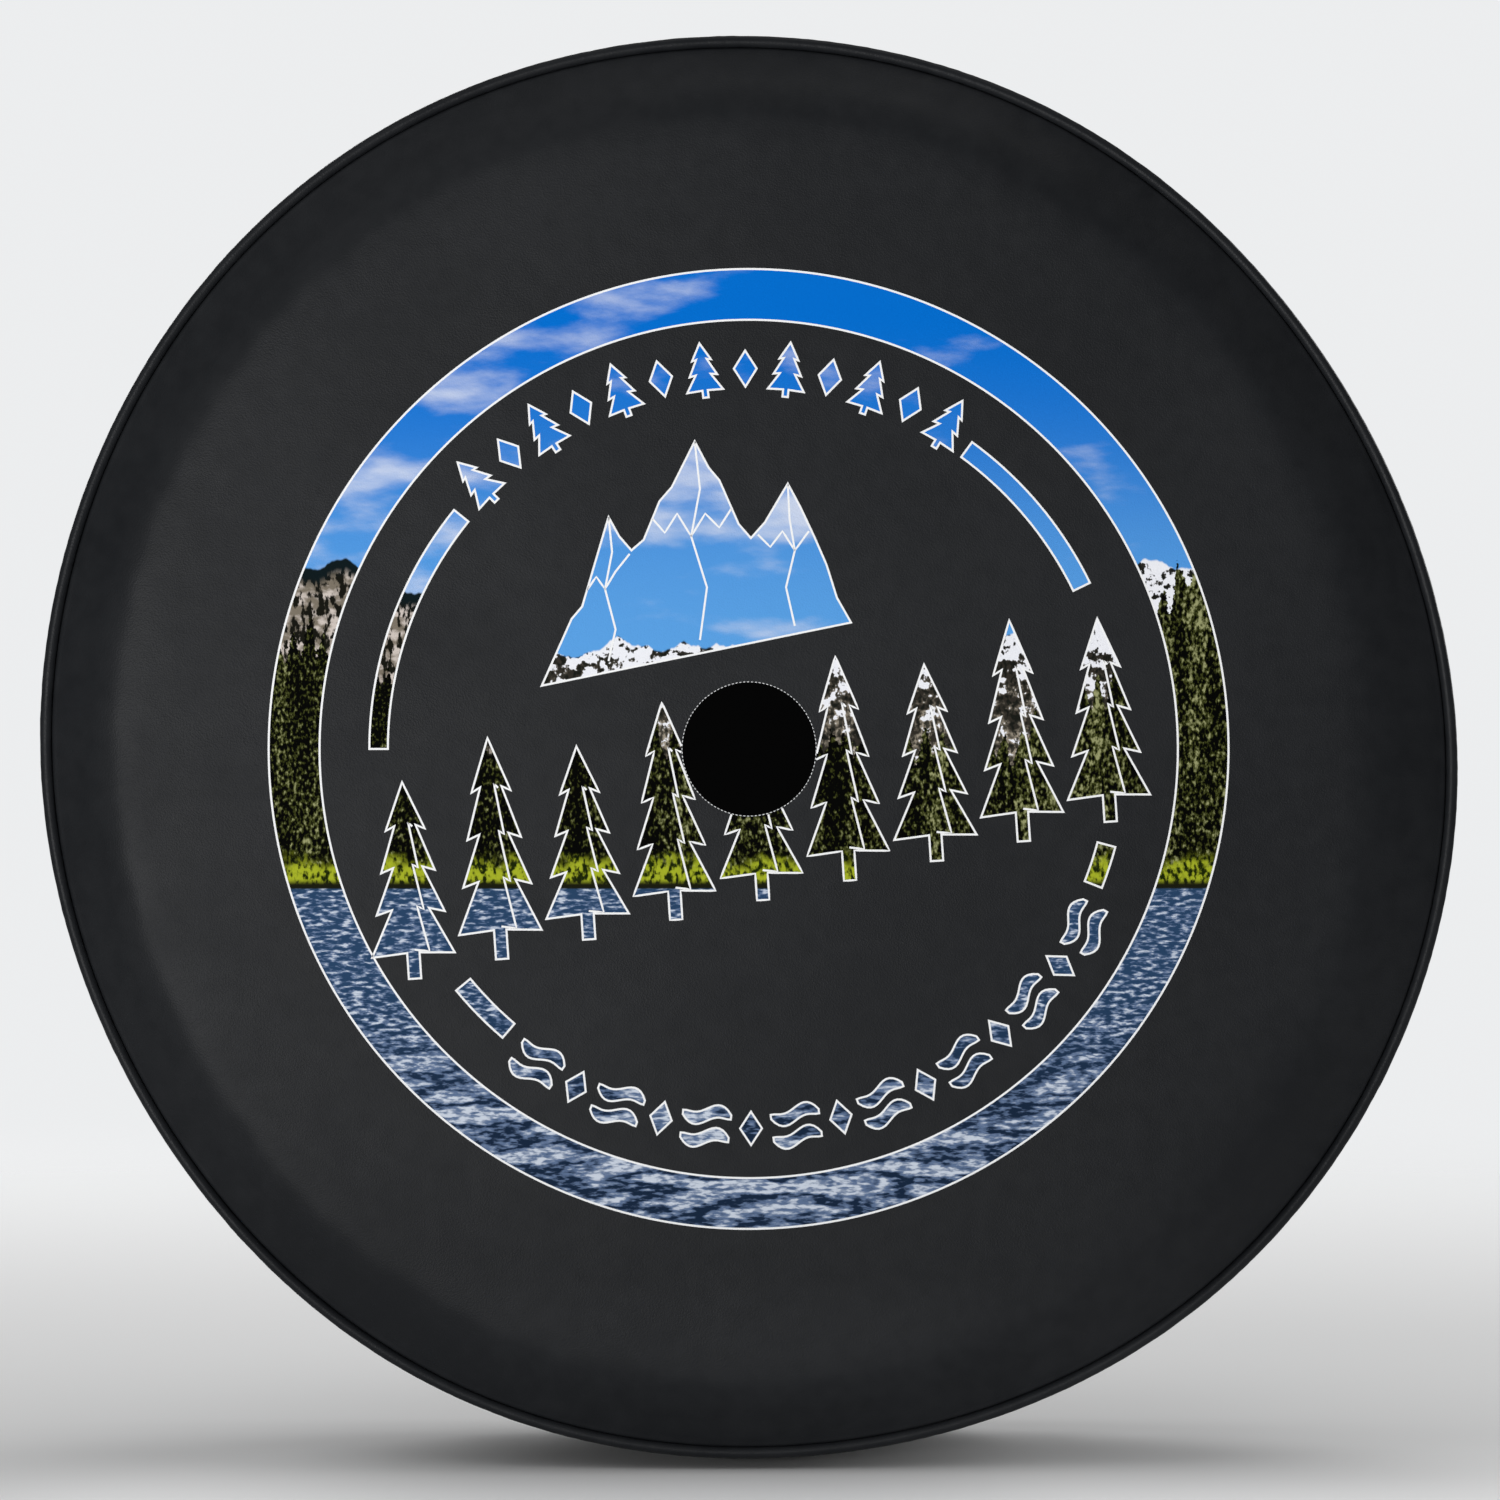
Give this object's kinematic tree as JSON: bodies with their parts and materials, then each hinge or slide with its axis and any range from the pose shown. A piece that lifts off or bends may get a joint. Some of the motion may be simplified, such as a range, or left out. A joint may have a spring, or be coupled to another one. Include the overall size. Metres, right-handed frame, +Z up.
{
  "type": "spare tire cover",
  "caption": "Round black vinyl spare tyre cover with a piped rim, a printed landscape badge, a central camera opening and an elastic rear hem.",
  "frame": {"origin": "centre of the covered spare tyre, on its axis", "axes": "+Z up; -Y out of the printed face, along the tyre's axis; +Y out of the elastic mouth, towards the vehicle; +X to the viewer's right when facing the print"},
  "size_m": [0.815, 0.2668, 0.815],
  "materials": {
    "face_vinyl": "matte fine-grained coated vinyl",
    "band_vinyl": "matte fine-grained coated vinyl",
    "welt_vinyl": "satin coated vinyl, stretched smooth over the cord",
    "binding_tape": "woven polyester tape",
    "cotton_core": "twisted cotton",
    "black_thread": "bonded polyester thread",
    "grey_thread": "bonded polyester thread",
    "elastic": "braided elastic cord",
    "crimped_metal": "satin",
    "label_cloth": "woven, blank",
    "print": null
  },
  "bodies": {
    "root": {"face_panel": "face_vinyl", "camera_opening_facing": "face_vinyl", "camera_opening_thread": "grey_thread", "welt_cord": "cotton_core", "welt_sleeve": "welt_vinyl", "face_seam_binding": "binding_tape", "face_seam_thread": "black_thread", "tread_band_upper": "band_vinyl", "tread_band_lower": "band_vinyl", "join_tape_right": "binding_tape", "join_thread_right_upper": "black_thread", "join_thread_right_lower": "black_thread", "join_tape_left": "binding_tape", "join_thread_left_upper": "black_thread", "join_thread_left_lower": "black_thread", "hem_casing_upper": "binding_tape", "hem_casing_lower": "binding_tape", "hem_thread": "black_thread", "elastic_cord": "elastic", "elastic_cord_ferrule": "crimped_metal", "care_label": "label_cloth"}
  },
  "joints": []
}
